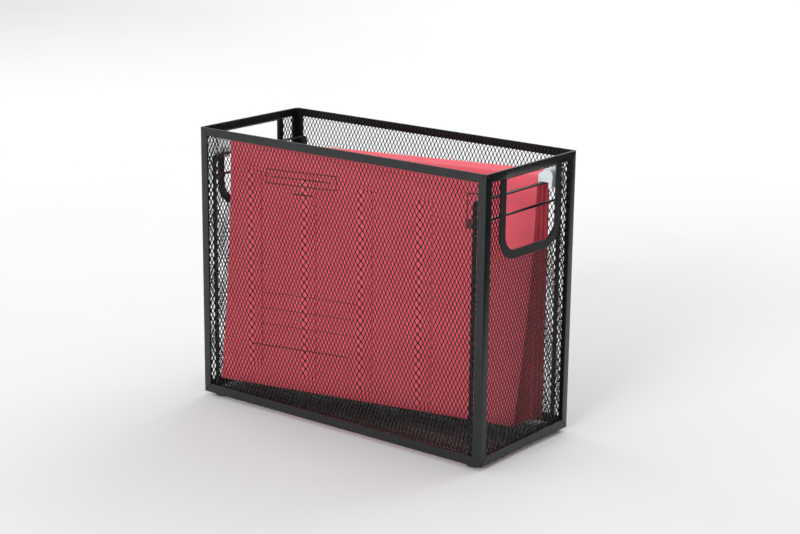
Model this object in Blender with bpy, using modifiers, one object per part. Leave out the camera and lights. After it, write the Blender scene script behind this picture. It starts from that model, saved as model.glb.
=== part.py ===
"""Desktop hanging-file holder: a powder-coated steel frame with expanded-metal panels, a handle opening in
each end, two flat hanging rails, and four card folders that hang on the rails by plastic hooks.

Metres, +Z up. The origin is on the surface that the feet stand on, under the middle of the frame.
X runs along the long sides, Y from the front long side to the back one.
"""
import math

import bmesh
import bpy
from mathutils import Matrix, Vector

# Driving dimensions
WIDTH = 0.325            # outside of the frame along X
DEPTH = 0.137            # outside of the frame along Y
FRAME_HEIGHT = 0.257     # outside of the frame along Z
CLEARANCE = 0.004        # height of the frame above the surface
GAP = 0.0003             # between neighbouring pieces
MITRE_GAP = 0.00045      # between the mitred ends of the bars

BAR_WIDTH = 0.0085       # visible width of the posts and the bottom rails
TOP_BAR_WIDTH = 0.0075   # visible height of the top rails
BAR_THICKNESS = 0.002
CORNER_CHAMFER = 0.0011  # outer vertical edge of the rails' mitred ends
CORNER_RADIUS = 0.0018   # outer vertical edge of the posts

PANEL_THICKNESS = 0.0008
PANEL_EDGE = 0.0006      # how far a side panel stops short of the frame's top and bottom
FLOOR_RISE = 0.0018      # underside of the floor panel above the bottom of the frame
RIB_CENTRES = (-0.0975, -0.0325, 0.0325, 0.0975)  # upright grooves pressed into the long panels
RIB_HALF = 0.0095        # half the width of a groove at the panel's face
RIB_FLOOR_HALF = 0.0040  # half the width of its flat bottom
RIB_DEPTH = 0.0036
RIB_LOW = 0.036          # lower and upper end of the grooves above the bottom of the frame
RIB_HIGH = 0.228
RIB_RUNOUT = 0.005       # length of the sloping ends

HANDLE_WIDTH = 0.076     # clear opening between the side strips of a handle frame
HANDLE_BOTTOM = 0.185    # lower edge of the opening, above the bottom of the frame
STRIP_WIDTH = 0.008      # of the handle frame's sides and bottom
HANDLE_TOP_STRIP = 0.0035
STRIP_THICKNESS = 0.0016
HANDLE_RADIUS = 0.015    # inner radius of the two lower corners

RAIL_X = 0.1486          # centre of each hanging rail, left and right of the middle
RAIL_WIDTH = 0.004
RAIL_THICKNESS = 0.0015
RAIL_TOP = 0.2318        # top of the rail above the bottom of the frame
RAIL_BEND = 0.005        # outer radius where the rail turns down into its legs
BRACE_RADIUS = 0.0012
BRACE_HEIGHT = 0.2123    # centre of the brace above the bottom of the frame
BRACE_SIDES = 12

FOOT_RADIUS = 0.0085
FOOT_IN_X = 0.014        # centre of a foot from the end of the frame
FOOT_IN_Y = 0.013        # centre of a foot from the side of the frame
FOOT_SIDES = 28
FOOT_ROUNDING = 0.0008

FOLDER_HALF = 0.1483     # half the length of a folder's card
SHEET_THICKNESS = 0.0006
SHEET_OFFSET = 0.00165   # middle of a sheet from the middle of its folder
SHEET_TOP = 0.2393       # above the bottom of the frame
SHEET_BOTTOM = 0.0095
FOLD_RADIUS = 0.0015     # where a closed folder's sheets turn in to meet
FOLD_ANGLE = math.radians(75)
LEAN_LEFT = 0.011        # how far the foot of the front folder's front sheet stands out to the front
LEAN_RIGHT = 0.020
LEAN_POWER = 2.2
LEAN_STEPS = 14
ROD_THICKNESS = 0.0007
ROD_HEIGHT = 0.005
ROD_TOP = 0.2383         # above the bottom of the frame
ROD_OFFSET = 0.0007      # middle of a rod from the middle of its folder
HOOK_THICKNESS = 0.0016
HOOK_OFFSET = 0.00095    # middle of a hook from the middle of its folder
HOOK_TIP = 0.1617        # end of the hook from the middle of the folder
HOOK_CROWN = 0.0112      # top of the hook above the top of the rail
HOOK_CORNER = 0.0045     # radius of its outer upper corner
HOOK_WAIST = 0.003       # above the top of the rail, where the lip starts to draw in
NOTCH_INNER = 0.1500
NOTCH_OUTER = 0.1583
TOOTH_DEPTH = 0.0035     # of the tooth inside the rail, below the rail's top
TOOTH_CHAMFER = 0.0004
LIP_DEPTH = 0.0045       # of the lip outside the rail, below the rail's top
LIP_RADIUS = 0.0014
UNSEATED_SHIFT = 0.0025  # of a folder whose left lips stand on the rail, towards its right end
ARC_STEPS = 4

# Middle of each folder (Y) and its turn about Z, front to back: the stack hangs askew and fans out
FOLDERS = (
    ("folder_1", -0.0081, math.radians(16.9)),
    ("folder_2", 0.0007, math.radians(15.85)),
    ("folder_3", 0.0096, math.radians(14.8)),
    ("folder_4", 0.0184, math.radians(13.7)),
)

# Values that follow from them
BASE = CLEARANCE
TOP = CLEARANCE + FRAME_HEIGHT
HALF_X = WIDTH / 2
HALF_Y = DEPTH / 2
PANEL_OUT = BAR_THICKNESS + GAP
PANEL_IN = PANEL_OUT + PANEL_THICKNESS
FLOOR_BOTTOM = BASE + FLOOR_RISE
FLOOR_TOP = FLOOR_BOTTOM + PANEL_THICKNESS
UPRIGHT_INWARDS = Matrix(((1, 0, 0, 0), (0, 0, 1, 0), (0, 1, 0, 0), (0, 0, 0, 1)))  # drawn Y up, drawn Z to +Y


def clear_scene():
    for old in list(bpy.data.objects):
        bpy.data.objects.remove(old)


def make_collection(name):
    collection = bpy.data.collections.new(name)
    bpy.context.scene.collection.children.link(collection)
    return collection


def make_material(name, colour, roughness, metallic=0.0):
    material = bpy.data.materials.new(name)
    material.use_nodes = True
    shader = material.node_tree.nodes["Principled BSDF"]
    shader.inputs["Base Color"].default_value = (*colour, 1.0)
    shader.inputs["Roughness"].default_value = roughness
    shader.inputs["Metallic"].default_value = metallic
    return material


def add_object(name, data, material, parent=None, location=(0, 0, 0), turn=0.0):
    """Links an object at its place and gives it its material."""
    piece = bpy.data.objects.new(name, data)
    if not data.materials:
        data.materials.append(material)
    piece.location = location
    piece.rotation_euler = (0, 0, turn)
    piece.parent = parent
    PARTS.objects.link(piece)
    return piece


def mesh_from(bm, name):
    mesh = bpy.data.meshes.new(name)
    bmesh.ops.recalc_face_normals(bm, faces=bm.faces)
    bm.to_mesh(mesh)
    bm.free()
    return mesh


def box(low, high):
    """A bmesh box between two corners."""
    low, high = Vector(low), Vector(high)
    bm = bmesh.new()
    bmesh.ops.create_cube(bm, size=1.0)
    bmesh.ops.scale(bm, verts=bm.verts, vec=high - low)
    bmesh.ops.translate(bm, verts=bm.verts, vec=(low + high) / 2)
    return bm


def cut(bm, point, normal):
    """Takes away what lies on the normal's side of a plane and closes the cut."""
    everything = bm.verts[:] + bm.edges[:] + bm.faces[:]
    result = bmesh.ops.bisect_plane(
        bm, geom=everything, plane_co=point, plane_no=normal, clear_outer=True, dist=1e-7
    )
    rim = [item for item in result["geom_cut"] if isinstance(item, bmesh.types.BMEdge)]
    bmesh.ops.contextual_create(bm, geom=rim)


def arc(centre, radius, start, end, steps=ARC_STEPS):
    """Points along an arc, angles in degrees."""
    points = []
    for i in range(steps + 1):
        angle = math.radians(start + (end - start) * i / steps)
        points.append((centre[0] + radius * math.cos(angle), centre[1] + radius * math.sin(angle)))
    return points


def plate(name, outlines, thickness):
    """A flat piece: 2D outlines filled and extruded, made a mesh in its own XY plane, centred on Z = 0."""
    curve = bpy.data.curves.new(name, "CURVE")
    curve.dimensions = "2D"
    curve.fill_mode = "BOTH"
    curve.extrude = thickness / 2
    for outline in outlines:
        spline = curve.splines.new("POLY")
        spline.points.add(len(outline) - 1)
        for point, (x, y) in zip(spline.points, outline):
            point.co = (x, y, 0, 1)
        spline.use_cyclic_u = True
    drawn = bpy.data.objects.new(name, curve)
    PARTS.objects.link(drawn)
    bpy.context.view_layer.update()
    evaluated = drawn.evaluated_get(bpy.context.evaluated_depsgraph_get())
    bm = bmesh.new()
    bm.from_mesh(evaluated.to_mesh())
    bpy.data.objects.remove(drawn)
    bmesh.ops.remove_doubles(bm, verts=bm.verts, dist=1e-6)
    return bm


def stand(bm, side):
    """Turns a flat piece drawn in XY upright at X = side: drawn X becomes Y, and drawn Y becomes Z."""
    turn = Matrix(((0, 0, 1, side), (1, 0, 0, 0), (0, 1, 0, 0), (0, 0, 0, 1)))
    bmesh.ops.transform(bm, matrix=turn, verts=bm.verts)


def stand_along(bm):
    """Turns a flat piece drawn in XY upright along X: drawn Y becomes Z."""
    bmesh.ops.rotate(bm, verts=bm.verts, cent=(0, 0, 0), matrix=Matrix.Rotation(math.radians(90), 3, "X"))


def post(name, sign_x, sign_y):
    """An angle section whose ends are mitred to meet the rails."""
    x, y = HALF_X, HALF_Y
    outline = arc((x - CORNER_RADIUS, y - CORNER_RADIUS), CORNER_RADIUS, 0, 90)
    outline += [(x - BAR_WIDTH, y), (x - BAR_WIDTH, y - BAR_THICKNESS)]
    outline += [(x - BAR_THICKNESS, y - BAR_THICKNESS), (x - BAR_THICKNESS, y - BAR_WIDTH), (x, y - BAR_WIDTH)]
    bm = plate(name, [outline], FRAME_HEIGHT)
    bmesh.ops.translate(bm, verts=bm.verts, vec=(0, 0, BASE + FRAME_HEIGHT / 2))
    for outward in (Vector((1, 0, 0)), Vector((0, 1, 0))):
        cut(bm, (x, y, TOP), top_mitre(outward))
        cut(bm, (x, y, BASE), bottom_mitre(outward))
    bmesh.ops.scale(bm, verts=bm.verts, vec=(sign_x, sign_y, 1))
    add_object(name, mesh_from(bm, name), STEEL)


def top_mitre(outward):
    """Normal of the plane that ends a post under a top rail: it rises towards the outer corner."""
    return outward * -TOP_BAR_WIDTH + Vector((0, 0, BAR_WIDTH))


def bottom_mitre(outward):
    """Normal of the plane that ends a post above a bottom rail."""
    return outward * -BAR_WIDTH + Vector((0, 0, -BAR_WIDTH))


def rail(name, along, across, sign, is_top):
    """A flat bar between two posts, mitred against the posts and against the next rails."""
    height = TOP_BAR_WIDTH if is_top else BAR_WIDTH
    low_z, high_z = (TOP - height, TOP) if is_top else (BASE, BASE + height)
    bm = box((-along, across - BAR_THICKNESS, low_z), (along, across, high_z))
    post_mitre = top_mitre if is_top else bottom_mitre
    level = TOP if is_top else BASE
    for end in (1, -1):
        outward = Vector((end, 0, 0))
        corner = Vector((end * (along - MITRE_GAP), across, level))
        cut(bm, corner, -post_mitre(outward))
        cut(bm, corner, outward + Vector((0, -1, 0)))
        chamfer = Vector((end * along, across - CORNER_CHAMFER, level))
        cut(bm, chamfer, outward + Vector((0, 1, 0)))
    if sign < 0:
        bmesh.ops.rotate(bm, verts=bm.verts, cent=(0, 0, 0), matrix=Matrix.Rotation(math.pi, 3, "Z"))
    return mesh_from(bm, name)


def frame_bars():
    for side_y, front_or_back in ((-1, "front"), (1, "back")):
        for side_x, left_or_right in ((-1, "left"), (1, "right")):
            post(f"post_{front_or_back}_{left_or_right}", side_x, side_y)
    quarter = math.radians(-90)
    for is_top, level in ((True, "top"), (False, "bottom")):
        for sign, side in ((1, "back"), (-1, "front")):
            name = f"{level}_rail_{side}"
            add_object(name, rail(name, HALF_X, HALF_Y, sign, is_top), STEEL)
        for sign, side in ((1, "right"), (-1, "left")):
            name = f"{level}_rail_{side}"
            add_object(name, rail(name, HALF_Y, HALF_X, sign, is_top), STEEL, turn=quarter)


def groove(bm, centre, ring):
    """A shallow tray pressed into a panel drawn in XY: four sloping sides and a flat bottom at Z = RIB_DEPTH."""
    low, high = BASE + RIB_LOW + RIB_RUNOUT, BASE + RIB_HIGH - RIB_RUNOUT
    half = RIB_FLOOR_HALF
    corners = ((centre - half, low), (centre + half, low), (centre + half, high), (centre - half, high))
    inner = [bm.verts.new((x, z, RIB_DEPTH)) for x, z in corners]
    for i in range(4):
        bm.faces.new((ring[i], ring[(i + 1) % 4], inner[(i + 1) % 4], inner[i]))
    bm.faces.new(inner)


def ribbed_surface(reach, low, high):
    """The middle surface of a long panel, drawn in XY, with its grooves between bands of flat sheet."""
    bm = bmesh.new()
    columns = [-reach]
    for centre in RIB_CENTRES:
        columns += [centre - RIB_HALF, centre + RIB_HALF]
    columns.append(reach)
    rows = (low, BASE + RIB_LOW, BASE + RIB_HIGH, high)
    grid = [[bm.verts.new((x, z, 0)) for z in rows] for x in columns]
    for i in range(len(columns) - 1):
        for j in range(len(rows) - 1):
            ring = (grid[i][j], grid[i + 1][j], grid[i + 1][j + 1], grid[i][j + 1])
            if i % 2 and j == 1:
                groove(bm, RIB_CENTRES[i // 2], ring)
            else:
                bm.faces.new(ring)
    return bm


def long_panels():
    """Front and back panels, full width behind the posts, with their grooves pressed inwards."""
    reach = HALF_X - PANEL_OUT
    middle = HALF_Y - (PANEL_OUT + PANEL_IN) / 2
    for turn, sign, side in ((0.0, -1, "front"), (math.pi, 1, "back")):
        name = f"mesh_panel_{side}"
        bm = ribbed_surface(reach, BASE + PANEL_EDGE, TOP - PANEL_EDGE)
        bmesh.ops.transform(bm, matrix=UPRIGHT_INWARDS, verts=bm.verts)
        piece = add_object(name, mesh_from(bm, name), MESH, location=(0, sign * middle, 0), turn=turn)
        shell = piece.modifiers.new("sheet thickness", "SOLIDIFY")
        shell.thickness = PANEL_THICKNESS
        shell.offset = 0
        shell.use_even_offset = True


def floor_panel():
    reach_x = HALF_X - PANEL_IN - GAP
    reach_y = HALF_Y - PANEL_IN - GAP
    bm = box((-reach_x, -reach_y, FLOOR_BOTTOM), (reach_x, reach_y, FLOOR_TOP))
    add_object("mesh_panel_floor", mesh_from(bm, "mesh_panel_floor"), MESH)


def u_outline(half, bottom, radius, top):
    """A U from its top left, round two lower corners, to its top right."""
    left = arc((-half + radius, bottom + radius), radius, 180, 270, 2 * ARC_STEPS)
    right = arc((half - radius, bottom + radius), radius, 270, 360, 2 * ARC_STEPS)
    return [(-half, top)] + left + right + [(half, top)]


def end_panels():
    """End panels with a notch from the top, whose edge the handle frame covers."""
    reach = HALF_Y - PANEL_IN - GAP
    low, high = BASE + PANEL_EDGE, TOP - PANEL_EDGE
    half = HANDLE_WIDTH / 2 + STRIP_WIDTH / 2
    bottom = BASE + HANDLE_BOTTOM - STRIP_WIDTH / 2
    notch = u_outline(half, bottom, HANDLE_RADIUS + STRIP_WIDTH / 2, high)
    outline = [(reach, high), (reach, low), (-reach, low), (-reach, high)] + notch
    for sign, side in ((-1, "left"), (1, "right")):
        name = f"mesh_panel_{side}"
        bm = plate(name, [outline], PANEL_THICKNESS)
        stand(bm, sign * (HALF_X - (PANEL_OUT + PANEL_IN) / 2))
        add_object(name, mesh_from(bm, name), MESH)


def handle_frames():
    """A flat frame round each handle opening, under the top rail."""
    top = TOP - TOP_BAR_WIDTH - GAP
    half = HANDLE_WIDTH / 2
    bottom = BASE + HANDLE_BOTTOM
    inner = u_outline(half, bottom, HANDLE_RADIUS, top - HANDLE_TOP_STRIP)
    outer = u_outline(half + STRIP_WIDTH, bottom - STRIP_WIDTH, HANDLE_RADIUS + STRIP_WIDTH, top)
    for sign, side in ((-1, "left"), (1, "right")):
        name = f"handle_frame_{side}"
        bm = plate(name, [outer, inner], STRIP_THICKNESS)
        stand(bm, sign * (HALF_X - BAR_THICKNESS + STRIP_THICKNESS / 2))
        add_object(name, mesh_from(bm, name), STEEL)


def hanging_rails():
    """A flat strip across each end, turned down into two legs that stand on the floor panel."""
    reach = HALF_Y - PANEL_IN - GAP
    top = BASE + RAIL_TOP
    foot = FLOOR_TOP + GAP
    inside = RAIL_BEND - RAIL_THICKNESS
    outline = [(-reach, foot)]
    outline += arc((-reach + RAIL_BEND, top - RAIL_BEND), RAIL_BEND, 180, 90)
    outline += arc((reach - RAIL_BEND, top - RAIL_BEND), RAIL_BEND, 90, 0)
    outline += [(reach, foot), (reach - RAIL_THICKNESS, foot)]
    outline += arc((reach - RAIL_BEND, top - RAIL_BEND), inside, 0, 90)
    outline += arc((-reach + RAIL_BEND, top - RAIL_BEND), inside, 90, 180)
    outline += [(-reach + RAIL_THICKNESS, foot)]
    for sign, side in ((-1, "left"), (1, "right")):
        name = f"hanging_rail_{side}"
        bm = plate(name, [outline], RAIL_WIDTH)
        stand(bm, sign * RAIL_X)
        add_object(name, mesh_from(bm, name), STEEL)


def braces():
    """A round bar between the legs of each hanging rail."""
    length = 2 * (HALF_Y - PANEL_IN - 2 * GAP - RAIL_THICKNESS)
    for sign, side in ((-1, "left"), (1, "right")):
        name = f"brace_{side}"
        bm = bmesh.new()
        bmesh.ops.create_cone(
            bm, cap_ends=True, segments=BRACE_SIDES, radius1=BRACE_RADIUS, radius2=BRACE_RADIUS, depth=length
        )
        bmesh.ops.rotate(bm, verts=bm.verts, cent=(0, 0, 0), matrix=Matrix.Rotation(math.radians(90), 3, "X"))
        place = (sign * RAIL_X, 0, BASE + BRACE_HEIGHT)
        add_object(name, mesh_from(bm, name), STEEL, location=place)


def feet():
    """Round rubber feet under the floor panel, near the corners."""
    height = FLOOR_BOTTOM - GAP
    for side_y, front_or_back in ((-1, "front"), (1, "back")):
        for side_x, left_or_right in ((-1, "left"), (1, "right")):
            name = f"foot_{front_or_back}_{left_or_right}"
            bm = bmesh.new()
            bmesh.ops.create_cone(
                bm, cap_ends=True, segments=FOOT_SIDES, radius1=FOOT_RADIUS, radius2=FOOT_RADIUS, depth=height
            )
            place = (side_x * (HALF_X - FOOT_IN_X), side_y * (HALF_Y - FOOT_IN_Y), height / 2)
            foot = add_object(name, mesh_from(bm, name), RUBBER, location=place)
            rounding = foot.modifiers.new("rounded rims", "BEVEL")
            rounding.width = FOOT_ROUNDING
            rounding.segments = 2


def sheet(name, left, right, parent):
    """Card between two sections, one at each end of the folder, each a list of (shift along X, Y, Z)."""
    bm = bmesh.new()
    columns = []
    for end, section in ((-FOLDER_HALF, left), (FOLDER_HALF, right)):
        columns.append([bm.verts.new((end + shift, y, z)) for shift, y, z in section])
    for row in range(len(left) - 1):
        bm.faces.new((columns[0][row], columns[1][row], columns[1][row + 1], columns[0][row + 1]))
    mesh = bpy.data.meshes.new(name)
    bm.to_mesh(mesh)
    bm.free()
    piece = add_object(name, mesh, CARD, parent=parent)
    shell = piece.modifiers.new("card thickness", "SOLIDIFY")
    shell.thickness = SHEET_THICKNESS
    shell.offset = 0
    shell.use_even_offset = True


def straight_section(side):
    """A closed folder's sheet: straight down, then turned in towards the other one."""
    y = side * SHEET_OFFSET
    bottom = BASE + SHEET_BOTTOM
    turn_in = side * FOLD_RADIUS
    section = [(0, y, BASE + SHEET_TOP)]
    for i in range(ARC_STEPS + 1):
        angle = FOLD_ANGLE * i / ARC_STEPS
        section.append((0, y - turn_in * (1 - math.cos(angle)), bottom - FOLD_RADIUS * math.sin(angle)))
    return section


def leaning_section(lean, turn):
    """The front folder's front sheet, which stands out to the front more and more towards its foot."""
    section = []
    for i in range(LEAN_STEPS + 1):
        share = i / LEAN_STEPS
        z = BASE + SHEET_TOP + (SHEET_BOTTOM - SHEET_TOP) * share
        out = lean * share ** LEAN_POWER
        section.append((-out * math.sin(turn), -SHEET_OFFSET - out * math.cos(turn), z))
    return section


def flat_section(side):
    """A sheet that goes straight down to a separate bottom strip."""
    return [(0, side * SHEET_OFFSET, BASE + SHEET_TOP), (0, side * SHEET_OFFSET, BASE + SHEET_BOTTOM)]


def bottom_section(lean, turn):
    level = BASE + SHEET_BOTTOM - GAP - SHEET_THICKNESS / 2
    rim = SHEET_OFFSET + SHEET_THICKNESS / 2
    return [(-lean * math.sin(turn), -rim - lean * math.cos(turn), level), (0, rim, level)]


def folder_rods(name, parent):
    """A thin steel strip along the top of each sheet."""
    high = BASE + ROD_TOP
    for side, front_or_back in ((-1, "front"), (1, "back")):
        rod = f"{name}_rod_{front_or_back}"
        near, far = sorted((side * (ROD_OFFSET - ROD_THICKNESS / 2), side * (ROD_OFFSET + ROD_THICKNESS / 2)))
        bm = box((-FOLDER_HALF, near, high - ROD_HEIGHT), (FOLDER_HALF, far, high))
        add_object(rod, mesh_from(bm, rod), STEEL, parent=parent)


def hook_mesh():
    """A plastic hook at the end of a rod: a short tooth, a notch over the rail and a lip outside it."""
    rail_top = BASE + RAIL_TOP
    root = FOLDER_HALF + GAP
    seat = rail_top + GAP
    crown = rail_top + HOOK_CROWN
    tooth = rail_top - TOOTH_DEPTH
    lip = rail_top - LIP_DEPTH
    card_top = BASE + SHEET_TOP
    slope = crown - card_top
    outline = [(root, tooth), (NOTCH_INNER - TOOTH_CHAMFER, tooth), (NOTCH_INNER, tooth + TOOTH_CHAMFER)]
    outline += [(NOTCH_INNER, seat), (NOTCH_OUTER, seat), (NOTCH_OUTER, lip)]
    outline += arc((NOTCH_OUTER + LIP_RADIUS, lip), LIP_RADIUS, 180, 360)
    outline += [(HOOK_TIP, rail_top + HOOK_WAIST)]
    outline += arc((HOOK_TIP - HOOK_CORNER, crown - HOOK_CORNER), HOOK_CORNER, 0, 90)
    outline += [(NOTCH_INNER + slope, crown), (NOTCH_INNER, card_top), (root, card_top)]
    bm = plate("hook", [outline], HOOK_THICKNESS)
    stand_along(bm)
    return mesh_from(bm, "hook")


def unseated(turn):
    """Place and tilt of a folder whose right notches are on the rail while its left lips stand on the other."""
    seat = Vector(((NOTCH_INNER + NOTCH_OUTER) / 2, 0, BASE + RAIL_TOP + GAP))
    rise = LIP_DEPTH + LIP_RADIUS + GAP
    tilt = math.asin(rise / (seat.x + NOTCH_OUTER + LIP_RADIUS))
    moved = seat + Vector((UNSEATED_SHIFT, 0, 0)) - Matrix.Rotation(tilt, 3, "Y") @ seat
    return Matrix.Rotation(turn, 3, "Z") @ moved, tilt


def folder(name, place_y, turn, hook, is_wide):
    """One hanging folder about its own middle, turned about Z. The wide one at the front also hangs tilted."""
    middle = bpy.data.objects.new(name + "_middle", None)
    moved, tilt = unseated(turn) if is_wide else (Vector(), 0)
    middle.location = Vector((0, place_y, 0)) + moved
    middle.rotation_euler = (0, tilt, turn)
    PARTS.objects.link(middle)
    if is_wide:
        left, right = leaning_section(LEAN_LEFT, turn), leaning_section(LEAN_RIGHT, turn)
        sheet(f"{name}_sheet_front", left, right, middle)
        sheet(f"{name}_sheet_back", flat_section(1), flat_section(1), middle)
        left, right = bottom_section(LEAN_LEFT, turn), bottom_section(LEAN_RIGHT, turn)
        sheet(f"{name}_bottom", left, right, middle)
    else:
        sheet(f"{name}_sheet_front", straight_section(-1), straight_section(-1), middle)
        sheet(f"{name}_sheet_back", straight_section(1), straight_section(1), middle)
    folder_rods(name, middle)
    for side, front_or_back in ((-1, "front"), (1, "back")):
        place = (0, side * HOOK_OFFSET, 0)
        add_object(f"{name}_hook_{front_or_back}_right", hook, PLASTIC, parent=middle, location=place)
        add_object(
            f"{name}_hook_{front_or_back}_left", hook, PLASTIC, parent=middle, location=place, turn=math.pi
        )


clear_scene()
PARTS = make_collection("hanging_file_holder")
STEEL = make_material("black_powder_coat", (0.022, 0.025, 0.025), 0.5, 0.1)
MESH = make_material("black_expanded_metal", (0.015, 0.017, 0.017), 0.55, 0.1)
RUBBER = make_material("black_rubber", (0.02, 0.02, 0.02), 0.8)
CARD = make_material("red_card", (0.75, 0.055, 0.09), 0.7)
PLASTIC = make_material("white_plastic", (0.85, 0.87, 0.88), 0.35)

frame_bars()
long_panels()
end_panels()
floor_panel()
handle_frames()
hanging_rails()
braces()
feet()
HOOK = hook_mesh()
for number, (folder_name, middle_y, turned) in enumerate(FOLDERS):
    folder(folder_name, middle_y, turned, HOOK, is_wide=number == 0)
bpy.context.view_layer.update()
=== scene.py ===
"""The looks of a desktop hanging-file holder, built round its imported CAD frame.

Metres, +Z up, in the row frame. Every piece takes its place from the CAD nodes that it stands for.
"""
import math

import bmesh
import bpy
from mathutils import Matrix, Vector, noise


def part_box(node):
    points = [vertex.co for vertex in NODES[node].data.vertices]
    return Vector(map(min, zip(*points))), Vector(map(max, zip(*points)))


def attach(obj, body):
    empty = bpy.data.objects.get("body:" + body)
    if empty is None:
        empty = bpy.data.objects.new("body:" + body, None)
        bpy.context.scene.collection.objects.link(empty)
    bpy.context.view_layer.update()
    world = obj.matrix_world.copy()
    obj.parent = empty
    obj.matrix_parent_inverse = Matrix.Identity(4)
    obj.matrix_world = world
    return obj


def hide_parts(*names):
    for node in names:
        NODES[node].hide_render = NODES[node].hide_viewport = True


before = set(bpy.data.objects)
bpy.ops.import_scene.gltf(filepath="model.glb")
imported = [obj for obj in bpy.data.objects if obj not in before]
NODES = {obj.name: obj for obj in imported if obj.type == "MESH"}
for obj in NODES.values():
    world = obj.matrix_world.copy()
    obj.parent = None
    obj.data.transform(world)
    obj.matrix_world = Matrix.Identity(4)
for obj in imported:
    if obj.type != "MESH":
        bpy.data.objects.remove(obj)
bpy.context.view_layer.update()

ENDS = ("left", "right")
SIDES = ("front", "back")

# Expanded metal: diamonds in offset rows, taller than they are wide
PITCH_U = 0.00416        # from diamond to diamond along a row
PITCH_V = 0.00784        # from row to row of the same column
BOND_HALF = 0.00082      # half the width of the metal where two strands join
BOND_LENGTH = 0.0012
STRAND_DEPTH = 0.00045    # thickness of the sheet
LONG_TILT = 0.00028      # how far an opening's left side stands out of the sheet, and its right side in
END_TILT = -0.00009
FLOOR_TILT = -0.00018
COLUMN_LEAN = -0.036     # the columns are not quite upright
FLOOR_SQUASH = 0.9

# Card folders
CARD_THICKNESS = 0.00036
CARD_OFFSET = 0.00165    # middle of a sheet from the middle of its folder
HEM_OFFSET = 0.00019     # the turned-in hem behind the rod
HEM_DEPTH = 0.011
CARD_HALF = 0.1483
CARD_WAVE = 0.00032
CARD_STATIONS = 44
CARD_ROWS = 22
LEAN_LEFT = 0.011
LEAN_RIGHT = 0.020
LEAN_POWER = 2.2
FOLD_HIGHLIGHT_AND_RUB = 0.0024        # how far down the paler top fold reaches: a painted highlight, with some rub
FOOT_RISE = 0.0017       # from the CAD's foot up to where the fold at the foot begins
WIDE_FOOT_RISE = 0.0009
FOOT_DROP = 0.0006       # the wide folder's flat foot, below its sheets
FOOT_TUCK = 0.0005
SCORE_DEPTH = 0.9        # depth of a narrow folder's fold at the foot, as a share of its half thickness

# Print on the card: left, right, top and bottom, from the card's left edge and down from its top
LABEL_BOX = (0.036, 0.107, 0.023, 0.037)
LABEL_RULE = (0.042, 0.101, 0.0295, 0.0305)
LABEL_DASH = (0.064, 0.084, 0.0435, 0.0450)
INDEX_BOX = (0.2325, 0.2465, 0.0240, 0.0570)
INDEX_BAND = (0.2325, 0.2465, 0.0480, 0.0570)
BASE_RULE = (0.029, 0.125, 0.1905, 0.1915)
FAINT_RULES = (0.1405, 0.1555, 0.1705)
FAINT_LEFT = 0.035
FAINT_RIGHT = 0.130
FAINT_HALF = 0.00025

# Camera, at the photograph's angle
CAMERA_PLACE = (1.0252, -1.2985, 0.5836)
CAMERA_AZIMUTH = math.radians(37.733)
CAMERA_ELEVATION = math.radians(14.98)
CAMERA_ROLL = math.radians(0.635)
CAMERA_LENS = 83.9


# ---------------------------------------------------------------- materials

class Paint:
    """A Principled material, with short calls for the nodes that drive it."""

    def __init__(self, name, **values):
        self.material = bpy.data.materials.new(name)
        self.material.use_nodes = True
        self.tree = self.material.node_tree
        self.shader = self.tree.nodes["Principled BSDF"]
        self.place = self.add("ShaderNodeTexCoord").outputs["Object"]
        for socket, value in values.items():
            self.shader.inputs[socket.replace("_", " ")].default_value = value

    def add(self, kind, **settings):
        node = self.tree.nodes.new(kind)
        for key, value in settings.items():
            setattr(node, key, value)
        return node

    def link(self, source, target):
        self.tree.links.new(source, target)

    def math(self, operation, a, b):
        node = self.add("ShaderNodeMath", operation=operation)
        for socket, value in zip(node.inputs, (a, b)):
            if isinstance(value, (int, float)):
                socket.default_value = value
            else:
                self.link(value, socket)
        return node.outputs[0]

    def noise(self, scale, detail=3.0, rough=0.55, stretch=(1, 1, 1)):
        stretched = self.add("ShaderNodeMapping")
        stretched.inputs["Scale"].default_value = stretch
        self.link(self.place, stretched.inputs["Vector"])
        node = self.add("ShaderNodeTexNoise")
        node.inputs["Scale"].default_value = scale
        node.inputs["Detail"].default_value = detail
        node.inputs["Roughness"].default_value = rough
        self.link(stretched.outputs["Vector"], node.inputs["Vector"])
        return node.outputs["Fac"]

    def ramp(self, value, *stops):
        node = self.add("ShaderNodeValToRGB")
        ramp = node.color_ramp
        while len(ramp.elements) < len(stops):
            ramp.elements.new(0.5)
        for element, (place, colour) in zip(ramp.elements, stops):
            element.position = place
            element.color = (*colour, 1.0)
        self.link(value, node.inputs["Fac"])
        return node.outputs["Color"]

    def mix(self, share, a, b):
        node = self.add("ShaderNodeMix", data_type="RGBA")
        for socket, value in ((node.inputs[0], share), (node.inputs[6], a), (node.inputs[7], b)):
            if isinstance(value, (float, tuple)):
                socket.default_value = value
            else:
                self.link(value, socket)
        return node.outputs[2]

    def range(self, value, low, high, stop=1.0):
        node = self.add("ShaderNodeMapRange")
        node.inputs["From Max"].default_value = stop
        node.inputs["To Min"].default_value = low
        node.inputs["To Max"].default_value = high
        self.link(value, node.inputs["Value"])
        return node.outputs["Result"]

    def bump(self, *layers):
        """Layers are (height, strength, depth in metres), from the coarsest to the finest."""
        normal = None
        for height, strength, depth in layers:
            node = self.add("ShaderNodeBump")
            node.inputs["Strength"].default_value = strength
            node.inputs["Distance"].default_value = depth
            self.link(height, node.inputs["Height"])
            if normal is not None:
                self.link(normal, node.inputs["Normal"])
            normal = node.outputs["Normal"]
        self.link(normal, self.shader.inputs["Normal"])

    def colour(self, value):
        self.link(value, self.shader.inputs["Base Color"])

    def roughness(self, value):
        self.link(value, self.shader.inputs["Roughness"])


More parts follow.
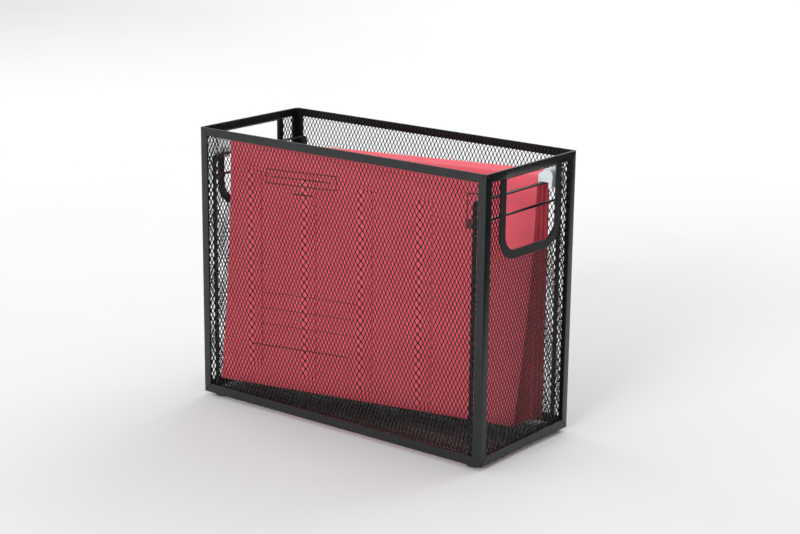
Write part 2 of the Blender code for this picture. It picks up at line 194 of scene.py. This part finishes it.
def powder_coat(name, dark, light, shine, wear, specular):
    """Baked black powder: a fine orange peel, cloudy gloss, and a thinner, paler coat on the edges."""
    paint = Paint(name, Metallic=0.0, IOR=1.5, Specular_IOR_Level=specular)
    cloudy = paint.noise(38, 4.0, 0.6)
    body = paint.ramp(cloudy, (0.35, dark), (0.7, light))
    edge = paint.add("ShaderNodeNewGeometry").outputs["Pointiness"]
    worn = paint.ramp(edge, (0.52, (0, 0, 0)), (0.62, (1, 1, 1)))
    broken = paint.math("MULTIPLY", worn, paint.range(paint.noise(420, 3.0), 0.0, wear))
    paler = tuple(2.6 * x for x in light)
    paint.colour(paint.mix(broken, body, (*paler, 1.0)))
    paint.roughness(paint.range(paint.noise(160, 4.0, 0.65), shine - 0.07, shine + 0.09))
    paint.bump((paint.noise(1500, 2.0, 0.5), 0.35, 0.00009), (paint.noise(4200, 1.0), 0.2, 0.00004))
    return paint.material


def rubber():
    paint = Paint("black rubber", Metallic=0.0)
    cloudy = paint.noise(240, 4.0)
    paint.colour(paint.ramp(cloudy, (0.3, (0.010, 0.010, 0.010)), (0.75, (0.030, 0.029, 0.028))))
    paint.roughness(paint.range(paint.noise(600, 3.0), 0.62, 0.88))
    paint.bump((paint.noise(1700, 3.0), 0.5, 0.00012))
    return paint.material


def fibres(paint):
    """Paper fibres that lie mostly along the card."""
    return paint.noise(900, 5.0, 0.7, (0.35, 1, 1.6)), paint.noise(2600, 2.0, 0.6, (0.5, 1, 1))


def box_mask(paint, across, down, left, right, low, high):
    sides = (
        ("GREATER_THAN", across, left), ("LESS_THAN", across, right),
        ("GREATER_THAN", down, low), ("LESS_THAN", down, high),
    )
    mask = None
    for operation, value, limit in sides:
        part = paint.math(operation, value, limit)
        mask = part if mask is None else paint.math("MULTIPLY", mask, part)
    return mask


def box_outline(paint, across, down, left, right, low, high, line):
    whole = box_mask(paint, across, down, left, right, low, high)
    inside = box_mask(paint, across, down, left + line, right - line, low + line, high - line)
    return paint.math("SUBTRACT", whole, inside)


def red_card():
    """Coated red card with paper fibres, plain printed rules, an empty label box and an index box."""
    paint = Paint("red card", Metallic=0.0, Specular_IOR_Level=0.35, Sheen_Weight=0.12, Sheen_Roughness=0.5)
    coarse, fine = fibres(paint)
    red = paint.ramp(paint.noise(26, 4.0, 0.6), (0.3, (0.860, 0.099, 0.143)), (0.72, (0.930, 0.123, 0.167)))
    specks = paint.math("MULTIPLY", paint.ramp(coarse, (0.56, (0, 0, 0)), (0.74, (1, 1, 1))), 0.22)
    red = paint.mix(specks, red, (0.93, 0.21, 0.24, 1.0))
    place = paint.add("ShaderNodeSeparateXYZ")
    paint.link(paint.add("ShaderNodeUVMap", uv_map="print").outputs["UV"], place.inputs["Vector"])
    across, down = place.outputs["X"], place.outputs["Y"]
    # The top fold is painted paler: a painted highlight where light from above catches the fold, with some
    # rub
    fold = paint.range(down, 1.0, 0.0, FOLD_HIGHLIGHT_AND_RUB)
    highlight_and_rub = paint.math("MULTIPLY", fold, paint.range(paint.noise(600, 3.0, 0.6, (0.3, 1, 1)), 0.1, 0.7))
    red = paint.mix(highlight_and_rub, red, (0.95, 0.33, 0.36, 1.0))
    marks = [
        box_outline(paint, across, down, *LABEL_BOX, 0.0010),
        box_mask(paint, across, down, *LABEL_RULE),
        box_mask(paint, across, down, *LABEL_DASH),
        box_outline(paint, across, down, *INDEX_BOX, 0.0013),
        box_mask(paint, across, down, *INDEX_BAND),
        box_mask(paint, across, down, *BASE_RULE),
    ]
    for row in FAINT_RULES:
        faint = (FAINT_LEFT, FAINT_RIGHT, row - FAINT_HALF, row + FAINT_HALF)
        marks.append(box_mask(paint, across, down, *faint))
    ink = marks[0]
    for mark in marks[1:]:
        ink = paint.math("MAXIMUM", ink, mark)
    ink = paint.math("MULTIPLY", ink, paint.range(fine, 0.72, 0.98))
    paint.colour(paint.mix(ink, red, (0.030, 0.018, 0.018, 1.0)))
    paint.roughness(paint.range(paint.noise(90, 4.0), 0.50, 0.68))
    paint.bump((coarse, 0.25, 0.00008), (fine, 0.2, 0.00003))
    return paint.material


def cut_card():
    """The cut edges of the card, rougher and a little paler than its faces."""
    paint = Paint("cut edge of card", Metallic=0.0, Specular_IOR_Level=0.3)
    layers = paint.noise(3000, 3.0, 0.6, (1, 1, 0.05))
    paint.colour(paint.ramp(layers, (0.3, (0.56, 0.050, 0.080)), (0.7, (0.78, 0.17, 0.20))))
    paint.roughness(paint.range(layers, 0.7, 0.9))
    paint.bump((layers, 0.5, 0.00006))
    return paint.material


def white_plastic():
    soft = {"Subsurface_Weight": 0.25, "Subsurface_Scale": 0.002, "Coat_Weight": 0.15}
    paint = Paint("white plastic", Metallic=0.0, **soft)
    paint.shader.inputs["Subsurface Radius"].default_value = (0.9, 0.9, 1.0)
    paint.colour(paint.ramp(paint.noise(70, 3.0), (0.3, (0.74, 0.79, 0.84)), (0.75, (0.86, 0.89, 0.92))))
    paint.roughness(paint.range(paint.noise(500, 3.0), 0.26, 0.42))
    paint.bump((paint.noise(1300, 2.0), 0.12, 0.00005))
    return paint.material


def rod_steel():
    paint = Paint("rolled steel strip", Metallic=1.0)
    drawn = paint.noise(2200, 3.0, 0.6, (0.03, 1, 1))
    paint.colour(paint.ramp(drawn, (0.3, (0.42, 0.42, 0.43)), (0.7, (0.62, 0.62, 0.63))))
    paint.roughness(paint.range(drawn, 0.24, 0.40))
    paint.bump((drawn, 0.2, 0.00004))
    return paint.material


def pale_floor():
    paint = Paint("pale floor", Metallic=0.0, Specular_IOR_Level=0.1)
    paint.colour(paint.ramp(paint.noise(3, 3.0), (0.3, (0.87, 0.87, 0.87)), (0.7, (0.89, 0.89, 0.89))))
    paint.roughness(paint.range(paint.noise(40, 2.0), 0.85, 0.95))
    return paint.material


# ---------------------------------------------------------------- pieces made from the CAD's own shapes

def finish_piece(piece, body, slot, *nodes):
    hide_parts(*nodes)
    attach(piece, body)


def new_piece(name, vertices, faces, *materials):
    mesh = bpy.data.meshes.new(name)
    mesh.from_pydata(vertices, [], faces)
    mesh.validate()
    for material in materials:
        mesh.materials.append(material)
    piece = bpy.data.objects.new(name, mesh)
    bpy.context.scene.collection.objects.link(piece)
    return piece


def cad_shape(node):
    """The CAD node's mesh with its flat facets joined up again."""
    bm = bmesh.new()
    bm.from_mesh(NODES[node].data)
    bmesh.ops.remove_doubles(bm, verts=bm.verts, dist=1e-6)
    bmesh.ops.dissolve_limit(bm, angle_limit=math.radians(1.5), verts=bm.verts, edges=bm.edges)
    return bm


def rounded(name, bm, material, width, segments=3, angle=28):
    """A piece from a bmesh, with its edges rounded."""
    vertices = [v.co.copy() for v in bm.verts]
    bm.verts.index_update()
    faces = [[v.index for v in f.verts] for f in bm.faces]
    bm.free()
    piece = new_piece(name, vertices, faces, material)
    piece.data.shade_smooth()
    edges = piece.modifiers.new("rounded edges", "BEVEL")
    edges.width = width
    edges.segments = segments
    edges.limit_method = "ANGLE"
    edges.angle_limit = math.radians(angle)
    edges.harden_normals = True
    return piece


def turn_lip(bm, node, sign):
    """Over the handle the lower half of an end's top rail is turned in, to face a little downwards."""
    low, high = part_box(node)
    outer = low.x if sign < 0 else high.x
    line = high.z - LIP_LINE
    cuts = [((0, 0, line), (0, 0, 1))]
    for y in (-LIP_HALF - LIP_FADE, -LIP_HALF, LIP_HALF, LIP_HALF + LIP_FADE):
        cuts.append(((0, y, 0), (0, 1, 0)))
    for point, normal in cuts:
        whole = bm.verts[:] + bm.edges[:] + bm.faces[:]
        bmesh.ops.bisect_plane(bm, geom=whole, plane_co=point, plane_no=normal)
    for vertex in bm.verts:
        place = vertex.co
        is_outer = abs(place.x - outer) < SAME
        if is_outer and abs(place.y) < LIP_HALF + SAME and place.z < line - SAME:
            place.x -= sign * LIP_TURN


def thin_ledge(bm, node):
    """The strip across the top of a handle frame is only a ledge under the rail: its lower edge moves up."""
    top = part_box(node)[1].z
    for vertex in bm.verts:
        place = vertex.co
        if abs(place.y) < HANDLE_HALF + 10 * SAME and top - TOP_STRIP_REACH < place.z < top - LEDGE:
            place.z = top - LEDGE


def bar(node, bm, coat, width):
    finish_piece(rounded(f"{node}_bar", bm, coat, width), "holder", "powder_coat", node)


def bars():
    for side in SIDES:
        for end in ENDS:
            node = f"post_{side}_{end}"
            bar(node, cad_shape(node), FRONT_COAT, BAR_EDGE)
    for level in ("top", "bottom"):
        for side in SIDES + ENDS:
            node = f"{level}_rail_{side}"
            shape = cad_shape(node)
            if level == "top" and side in ENDS:
                turn_lip(shape, node, -1 if side == "left" else 1)
            bar(node, shape, FRONT_COAT, BAR_EDGE)
    for end in ENDS:
        for part, width in (("handle_frame", BAR_EDGE), ("hanging_rail", STRIP_EDGE), ("brace", STRIP_EDGE)):
            node = f"{part}_{end}"
            shape = cad_shape(node)
            if part == "handle_frame":
                thin_ledge(shape, node)
            bar(node, shape, COAT, width)


def lathe(profile, steps=48):
    """A closed solid turned about Z from (radius, height) points, which start and end on the axis."""
    vertices = [(0, 0, profile[0][1])]
    faces = []
    inner = profile[1:-1]
    for radius, height in inner:
        for i in range(steps):
            angle = 2 * math.pi * i / steps
            vertices.append((radius * math.cos(angle), radius * math.sin(angle), height))
    vertices.append((0, 0, profile[-1][1]))
    last = len(vertices) - 1
    for i in range(steps):
        j = (i + 1) % steps
        faces.append((0, 1 + j, 1 + i))
        for row in range(len(inner) - 1):
            a, b = 1 + row * steps, 1 + (row + 1) * steps
            faces.append((a + i, a + j, b + j, b + i))
        top = 1 + (len(inner) - 1) * steps
        faces.append((top + i, top + j, last))
    return vertices, faces


def feet():
    """Moulded rubber feet: a rounded rim, a grip ring and a recess with a rivet head in it."""
    for side in SIDES:
        for end in ENDS:
            node = f"foot_{side}_{end}"
            low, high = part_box(node)
            middle = (low + high) / 2
            radius, top = (high.x - low.x) / 2, high.z
            profile = [
                (0, 0.0022), (0.0012, 0.0021), (0.0021, 0.0016),
                (0.0022, 0.0022), (0.0034, 0.0022), (0.0036, 0.0006),
                (0.0042, 0.0), (0.0056, 0.0), (0.0058, 0.0003), (0.0061, 0.0003), (0.0063, 0.0),
                (radius - 0.0012, 0.0), (radius - 0.0004, 0.0003),
                (radius, 0.0011), (radius - 0.0002, 0.0026),
                (radius - 0.0006, top - 0.0003), (radius - 0.0010, top), (0, top),
            ]
            vertices, faces = lathe(profile)
            placed = [(x + middle.x, y + middle.y, z) for x, y, z in vertices]
            piece = new_piece(f"{node}_pad", placed, faces, RUBBER)
            piece.data.shade_smooth()
            finish_piece(piece, "holder", "rubber", node)


# ---------------------------------------------------------------- expanded metal

def clip(polygon, a, b, c):
    """The part of a convex polygon of (u, v, w) where a u + b v <= c."""
    kept = []
    for i, here in enumerate(polygon):
        before = polygon[i - 1]
        d0 = a * before[0] + b * before[1] - c
        d1 = a * here[0] + b * here[1] - c
        if (d0 > 0) != (d1 > 0):
            t = d0 / (d0 - d1)
            kept.append(tuple(p + t * (q - p) for p, q in zip(before, here)))
        if d1 <= 0:
            kept.append(here)
    return kept if len(kept) > 2 else []


def outside(polygon, region):
    """What is left of a convex polygon outside a convex region given as half-planes."""
    left, pieces = polygon, []
    for a, b, c in region:
        if not left:
            break
        away = clip(left, -a, -b, -c)
        if away:
            pieces.append(away)
        left = clip(left, a, b, c)
    return pieces


def diamonds(half, low, high, tilt, squash):
    """The metal of an expanded sheet as convex polygons (u, v, w) round its openings, not yet trimmed."""
    pitch_u, pitch_v = PITCH_U, PITCH_V * squash
    ox, oy, bond = pitch_u / 2 - BOND_HALF, pitch_v / 2 - BOND_LENGTH / 2, BOND_LENGTH / 2
    tip, foot = (0, oy, 0), (0, -oy, 0)
    e1, e2 = (ox, bond, -tilt), (ox, -bond, -tilt)
    w1, w2 = (-ox, bond, tilt), (-ox, -bond, tilt)
    n, s, e, w = (0, pitch_v / 2, 0), (0, -pitch_v / 2, 0), (pitch_u / 2, 0, 0), (-pitch_u / 2, 0, 0)
    ring = ((tip, e1, e, n), (e1, e2, e), (e2, foot, s, e), (foot, w2, w, s), (w2, w1, w), (w1, tip, n, w))
    middle = (low + high) / 2
    rows = int((high - low) / pitch_v) + 3
    columns = int(2 * half / pitch_u) + 4
    for row in range(-rows, rows + 1):
        cv = row * pitch_v / 2
        for column in range(-columns, columns + 1):
            cu = (column + (row % 2) / 2) * pitch_u
            leaned = cu + COLUMN_LEAN * cv
            if abs(leaned) > half + pitch_u or abs(cv) > (high - low) / 2 + pitch_v:
                continue
            for part in ring:
                yield [(cu + u + COLUMN_LEAN * (cv + v), middle + cv + v, d) for u, v, d in part]


def expanded_sheet(name, half, low, high, place, tilt, press=None, notch=None, squash=1.0):
    """A solid sheet of expanded metal. place(u, v, w) gives the point in the row frame."""
    edges = ((1, 0, half), (-1, 0, half), (0, 1, high), (0, -1, -low))
    polygons = []
    for polygon in diamonds(half, low, high, tilt, squash):
        for a, b, c in edges:
            if polygon and max(a * u + b * v for u, v, _ in polygon) > c:
                polygon = clip(polygon, a, b, c)
        if not polygon:
            continue
        if notch and not any(all(a * u + b * v > c for u, v, _ in polygon) for a, b, c in notch):
            polygons += outside(polygon, notch)
        else:
            polygons.append(polygon)
    index, points, faces = {}, [], []
    for polygon in polygons:
        face = []
        for u, v, w in polygon:
            key = (round(u * 2e6), round(v * 2e6))
            if key not in index:
                index[key] = len(points)
                points.append((u, v, w + (press(u, v) if press else 0)))
            if index[key] not in face:
                face.append(index[key])
        if len(face) > 2:
            faces.append(face)
    once = {}
    for face in faces:
        for i, here in enumerate(face):
            pair = (face[i - 1], here)
            if (here, face[i - 1]) in once:
                del once[(here, face[i - 1])]
            else:
                once[pair] = True
    count = len(points)
    upper = [place(u, v, w + STRAND_DEPTH / 2) for u, v, w in points]
    lower = [place(u, v, w - STRAND_DEPTH / 2) for u, v, w in points]
    solid = faces + [[i + count for i in reversed(face)] for face in faces]
    solid += [[b, a, a + count, b + count] for a, b in once]
    return new_piece(name, upper + lower, solid, MESH_COAT)


def ribs_at(u, v):
    """How far the pressed grooves of a long panel lie behind its face."""
    depth = 0.0
    for centre in RIB_CENTRES:
        across = smooth((RIB_HALF - abs(u - centre)) / RIB_FLANK)
        along = smooth((v - RIB_LOW) / RIB_RUNOUT) * smooth((RIB_HIGH - v) / RIB_RUNOUT)
        depth = max(depth, across * along)
    return -RIB_DEPTH * depth


def smooth(share):
    share = min(1.0, max(0.0, share))
    return share * share * (3 - 2 * share)


def notch_planes(node):
    """The handle's notch, its lower corners rounded, as half-planes: a u + b v <= c inside it."""
    low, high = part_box(node)
    half = (high.y - low.y) / 2 - NOTCH_IN
    bottom = low.z + NOTCH_IN
    planes = [(1, 0, half), (-1, 0, half), (0, -1, -bottom)]
    for i in range(1, 6):
        angle = math.radians(15 * i)
        for sign in (1, -1):
            a, b = sign * math.sin(angle), -math.cos(angle)
            centre_u, centre_v = sign * (half - NOTCH_RADIUS), bottom + NOTCH_RADIUS
            planes.append((a, b, a * centre_u + b * centre_v + NOTCH_RADIUS))
    return planes


def panels():
    for side, sign in (("front", -1), ("back", 1)):
        node = f"mesh_panel_{side}"
        low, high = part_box(node)
        outer = low.y if sign < 0 else high.y
        middle = outer - sign * PANEL_THICKNESS / 2
        sheet = expanded_sheet(
            f"{node}_mesh", high.x, low.z, high.z,
            lambda u, v, w, sign=sign, middle=middle: (-sign * u, middle + sign * w, v),
            LONG_TILT, press=ribs_at,
        )
        finish_piece(sheet, "holder", "expanded_metal", node)
    for end, sign in (("left", -1), ("right", 1)):
        node = f"mesh_panel_{end}"
        low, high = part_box(node)
        middle = (low.x + high.x) / 2
        sheet = expanded_sheet(
            f"{node}_mesh", high.y, low.z, high.z,
            lambda u, v, w, sign=sign, middle=middle: (middle + sign * w, sign * u, v),
            END_TILT, notch=notch_planes(f"handle_frame_{end}"),
        )
        finish_piece(sheet, "holder", "expanded_metal", node)
    low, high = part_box("mesh_panel_floor")
    middle = (low.z + high.z) / 2
    sheet = expanded_sheet(
        "mesh_panel_floor_mesh", high.x, low.y, high.y,
        lambda u, v, w: (u, v, middle + w),
        FLOOR_TILT, squash=FLOOR_SQUASH,
    )
    finish_piece(sheet, "holder", "expanded_metal", "mesh_panel_floor")


# ---------------------------------------------------------------- folders

class Folder:
    """A folder's own axes, from its rods, and where its card's top and foot lie in them."""

    def __init__(self, number):
        self.number = number
        rods = [v.co for side in SIDES for v in NODES[f"folder_{number}_rod_{side}"].data.vertices]
        self.middle = sum(rods, Vector()) / len(rods)
        far = [p for p in rods if p.x > self.middle.x + CARD_HALF / 2]
        self.along = (sum(far, Vector()) / len(far) - self.middle).normalized()
        self.across = Vector((0, 0, 1)).cross(self.along).normalized()
        self.upright = self.along.cross(self.across)
        self.turn = math.atan2(self.along.y, self.along.x)
        heights = [self.inwards(v.co).z for v in NODES[f"folder_{number}_sheet_back"].data.vertices]
        self.top, self.foot = max(heights), min(heights)

    def inwards(self, point):
        away = point - self.middle
        return Vector((away.dot(self.along), away.dot(self.across), away.dot(self.upright)))

    def outwards(self, point):
        x, y, z = point
        return self.middle + x * self.along + y * self.across + z * self.upright


def card_line(folder, share, top, bottom):
    """The middle line of the folded card at a share of its length, from the front hem to the back one."""
    is_wide, turn = folder.number == 1, folder.turn
    lean = (LEAN_LEFT + (LEAN_RIGHT - LEAN_LEFT) * share) if is_wide else 0.0
    radius = (CARD_OFFSET - HEM_OFFSET) / 2
    crown = top - CARD_THICKNESS / 2 - radius
    half = []
    for i in range(3):
        half.append((HEM_OFFSET, crown - HEM_DEPTH * (1 - i / 2)))
    for i in range(1, 7):
        angle = math.pi * i / 7
        half.append((HEM_OFFSET + radius - radius * math.cos(angle), crown + radius * math.sin(angle)))
    for i in range(CARD_ROWS + 1):
        half.append((CARD_OFFSET, crown + (bottom - crown) * i / CARD_ROWS))
    front = []
    for y, z in half:
        out = lean * max(0.0, (top - z) / (top - bottom)) ** LEAN_POWER if y == CARD_OFFSET else 0.0
        front.append((-out * math.sin(turn), -y - out * math.cos(turn), z))
    back = [(0.0, y, z) for y, z in half]
    foot_x, foot_y, _ = front[-1]
    under = []
    if is_wide:
        for i in range(9):
            part = i / 8
            across = (foot_y + FOOT_TUCK) * (1 - part) + (CARD_OFFSET - FOOT_TUCK) * part
            under.append((foot_x * (1 - part), across, bottom - FOOT_DROP))
    else:
        for i in range(1, 8):
            angle = math.pi * i / 8
            down = CARD_OFFSET * SCORE_DEPTH * math.sin(angle)
            under.append((0.0, -CARD_OFFSET * math.cos(angle), bottom - down))
    return front + under + back[::-1], len(front)


def card(number):
    """One folder's card: hem, top fold over the rod, front sheet, scored foot, and back the same way."""
    nodes = [f"folder_{number}_sheet_front", f"folder_{number}_sheet_back"]
    if number == 1:
        nodes.append("folder_1_bottom")
    folder = Folder(number)
    top = folder.top
    foot = folder.foot + (WIDE_FOOT_RISE if number == 1 else FOOT_RISE)
    stations, loops = CARD_STATIONS, []
    for i in range(stations + 1):
        share = i / stations
        along = -CARD_HALF + 2 * CARD_HALF * share
        line, in_front = card_line(folder, share, top, foot)
        waved = []
        for row, (shift, y, z) in enumerate(line):
            side = -1 if row < in_front else 1
            free = smooth((top - 0.012 - z) / 0.05) * smooth((z - foot + 0.004) / 0.03)
            wave = CARD_WAVE * free * 2 * noise.noise(Vector((along * 16, z * 11, number * 7.3 + side)))
            waved.append((along + shift, y + wave, z))
        outer, inner = [], []
        for row, (x, y, z) in enumerate(waved):
            before, after = waved[max(0, row - 1)], waved[min(len(waved) - 1, row + 1)]
            dy, dz = after[1] - before[1], after[2] - before[2]
            length = math.hypot(dy, dz) or 1.0
            ny, nz = -dz / length * CARD_THICKNESS / 2, dy / length * CARD_THICKNESS / 2
            outer.append((x, y + ny, z + nz))
            inner.append((x, y - ny, z - nz))
        loops.append(outer + inner[::-1])
    vertices = [folder.outwards(point) for loop in loops for point in loop]
    ring, rows = len(loops[0]), len(loops[0]) // 2
    faces, printed = [], []
    for i in range(stations):
        for j in range(ring):
            k = (j + 1) % ring
            faces.append((i * ring + j, (i + 1) * ring + j, (i + 1) * ring + k, i * ring + k))
            printed.append(3 <= j < in_front or rows * 2 - in_front <= j < rows * 2 - 3)
    sides = len(faces)
    for base, order in ((0, 1), (stations * ring, -1)):
        for j in range(rows - 1):
            face = (base + j, base + j + 1, base + ring - 2 - j, base + ring - 1 - j)
            faces.append(face[::order])
            printed.append(False)
    piece = new_piece(f"folder_{number}_card", vertices, faces, CARD, CUT_CARD)
    mesh = piece.data
    bm = bmesh.new()
    bm.from_mesh(mesh)
    bmesh.ops.recalc_face_normals(bm, faces=bm.faces)
    bm.to_mesh(mesh)
    bm.free()
    layer = mesh.uv_layers.new(name="print")
    facing = -folder.across
    away = Vector((1.0, 1.0))
    for face in mesh.polygons:
        is_print = printed[face.index] and face.normal.dot(facing) > 0.3
        for loop in face.loop_indices:
            point = folder.inwards(mesh.vertices[mesh.loops[loop].vertex_index].co)
            place = Vector((point.x + CARD_HALF, top - point.z))
            layer.data[loop].uv = place if is_print else place + away
        if face.index >= sides:
            face.material_index = 1
    mesh.shade_smooth()
    mesh.set_sharp_from_angle(angle=math.radians(50))
    finish_piece(piece, f"folder_{number}", "red_card", *nodes)


def hook(node):
    """A moulded hook: the CAD's outline with a shallow pocket in each face, and rounded edges."""
    bm = cad_shape(node)
    flats = sorted(bm.faces, key=lambda f: f.calc_area(), reverse=True)[:2]
    bmesh.ops.inset_individual(bm, faces=flats, thickness=0.00045, depth=0.0)
    bmesh.ops.inset_individual(bm, faces=flats, thickness=0.00015, depth=-0.0002, use_even_offset=True)
    return rounded(f"{node}_moulding", bm, PLASTIC, 0.00015, 2, 40)


def folders():
    for number in range(1, 5):
        body = f"folder_{number}"
        card(number)
        for side in SIDES:
            rod = f"{body}_rod_{side}"
            finish_piece(rounded(f"{rod}_strip", cad_shape(rod), ROD, 0.00015, 2), body, "rod_steel", rod)
            for end in ENDS:
                node = f"{body}_hook_{side}_{end}"
                finish_piece(hook(node), body, "white_plastic", node)


# ---------------------------------------------------------------- stage

def camera():
    data = bpy.data.cameras.new("camera")
    data.sensor_width = 36.0
    data.lens = CAMERA_LENS
    a, e, r = CAMERA_AZIMUTH, CAMERA_ELEVATION, CAMERA_ROLL
    right = Vector((math.cos(a), math.sin(a), 0))
    back = Vector((math.sin(a) * math.cos(e), -math.cos(a) * math.cos(e), math.sin(e)))
    up = back.cross(right)
    across = math.cos(r) * right + math.sin(r) * up
    upright = math.cos(r) * up - math.sin(r) * right
    turned = Matrix((across, upright, back)).transposed().to_4x4()
    taker = bpy.data.objects.new("camera", data)
    taker.matrix_world = Matrix.Translation(CAMERA_PLACE) @ turned
    bpy.context.scene.collection.objects.link(taker)
    bpy.context.scene.camera = taker


def softbox(name, place, aim, width, height, power):
    data = bpy.data.lights.new(name, "AREA")
    data.shape = "RECTANGLE"
    data.size, data.size_y = width, height
    data.energy = power
    lamp = bpy.data.objects.new(name, data)
    lamp.location = place
    lamp.rotation_mode = "QUATERNION"
    lamp.rotation_quaternion = (Vector(place) - Vector(aim)).to_track_quat("Z", "Y")
    lamp.visible_camera = False
    bpy.context.scene.collection.objects.link(lamp)


def flag():
    """A black card to the right of the holder, there only for its reflection in the right-hand faces."""
    corners = [(0.5, -0.35, 0.0), (0.5, 1.6, 0.0), (0.5, 1.6, 0.8), (0.5, -0.35, 0.8)]
    black = Paint("black flag", Specular_IOR_Level=0.0)
    black.colour(black.ramp(black.noise(5), (0.3, (0.002, 0.002, 0.002)), (0.7, (0.004, 0.004, 0.004))))
    card_piece = new_piece("flag", corners, [(0, 1, 2, 3)], black.material)
    card_piece.visible_camera = False
    card_piece.visible_diffuse = False
    card_piece.visible_shadow = False
    card_piece.visible_transmission = False


def stage():
    bm = bmesh.new()
    bmesh.ops.create_grid(bm, x_segments=40, y_segments=40, size=9.0)
    mesh = bpy.data.meshes.new("floor")
    bm.to_mesh(mesh)
    bm.free()
    mesh.materials.append(pale_floor())
    floor = bpy.data.objects.new("floor", mesh)
    floor.location = (0, 0, -0.0001)
    bpy.context.scene.collection.objects.link(floor)
    flag()
    world = bpy.data.worlds.new("studio")
    world.use_nodes = True
    world.node_tree.nodes["Background"].inputs["Color"].default_value = (0.97, 0.985, 1.0, 1.0)
    world.node_tree.nodes["Background"].inputs["Strength"].default_value = WORLD_STRENGTH
    bpy.context.scene.world = world
    bpy.context.scene.view_settings.view_transform = "Standard"
    for lamp in SOFTBOXES:
        softbox(*lamp)


# ---------------------------------------------------------------- the scene

WORLD_STRENGTH = 0.6
SOFTBOXES = (  # name, place, aim, width, height, power
    ("top_back", (0.0, 1.3, 1.6), (0, 0.1, 0), 2.0, 1.2, 3.5),
    ("front_left", (-1.4, -1.4, 1.3), (0, 0, 0.1), 0.9, 0.9, 2),
    ("front_low", (0.4, -4.6, 1.63), (0, 0, 0.1), 2.3, 1.53, 142),
    ("left", (-2.2, 0.3, 1.2), (0, 0, 0.1), 1.2, 1.0, 7),
    ("backdrop", (-0.4, 3.6, 2.6), (-0.6, 2.6, 0), 4.0, 1.5, 70),
)

PANEL_THICKNESS = 0.0008
RIB_CENTRES = (-0.0975, -0.0325, 0.0325, 0.0975)
RIB_HALF = 0.0095
RIB_FLANK = 0.0054
RIB_DEPTH = 0.0036
RIB_LOW = 0.040
RIB_HIGH = 0.232
RIB_RUNOUT = 0.005
NOTCH_IN = 0.004
NOTCH_RADIUS = 0.019
BAR_EDGE = 0.00035        # rounding of the bars' edges
STRIP_EDGE = 0.0003
HANDLE_HALF = 0.038
LEDGE = 0.0008
TOP_STRIP_REACH = 0.006   # no farther below a handle frame's top than this
LIP_LINE = 0.0038
LIP_HALF = 0.038
LIP_FADE = 0.002
LIP_TURN = 0.0009
SAME = 1e-5               # points nearer than this are in one place

FRONT_COAT = powder_coat("powder coat on bars", (0.004, 0.005, 0.005), (0.008, 0.009, 0.009), 0.27, 0.9, 0.45)
COAT = powder_coat("powder coat on strips", (0.006, 0.007, 0.007), (0.010, 0.012, 0.012), 0.31, 0.6, 0.45)
MESH_COAT = powder_coat("powder coat on mesh", (0.005, 0.006, 0.006), (0.010, 0.011, 0.011), 0.44, 0.08, 0.3)
RUBBER = rubber()
CARD = red_card()
CUT_CARD = cut_card()
PLASTIC = white_plastic()
ROD = rod_steel()

camera()
bars()
feet()
panels()
folders()
stage()

bpy.context.view_layer.update()
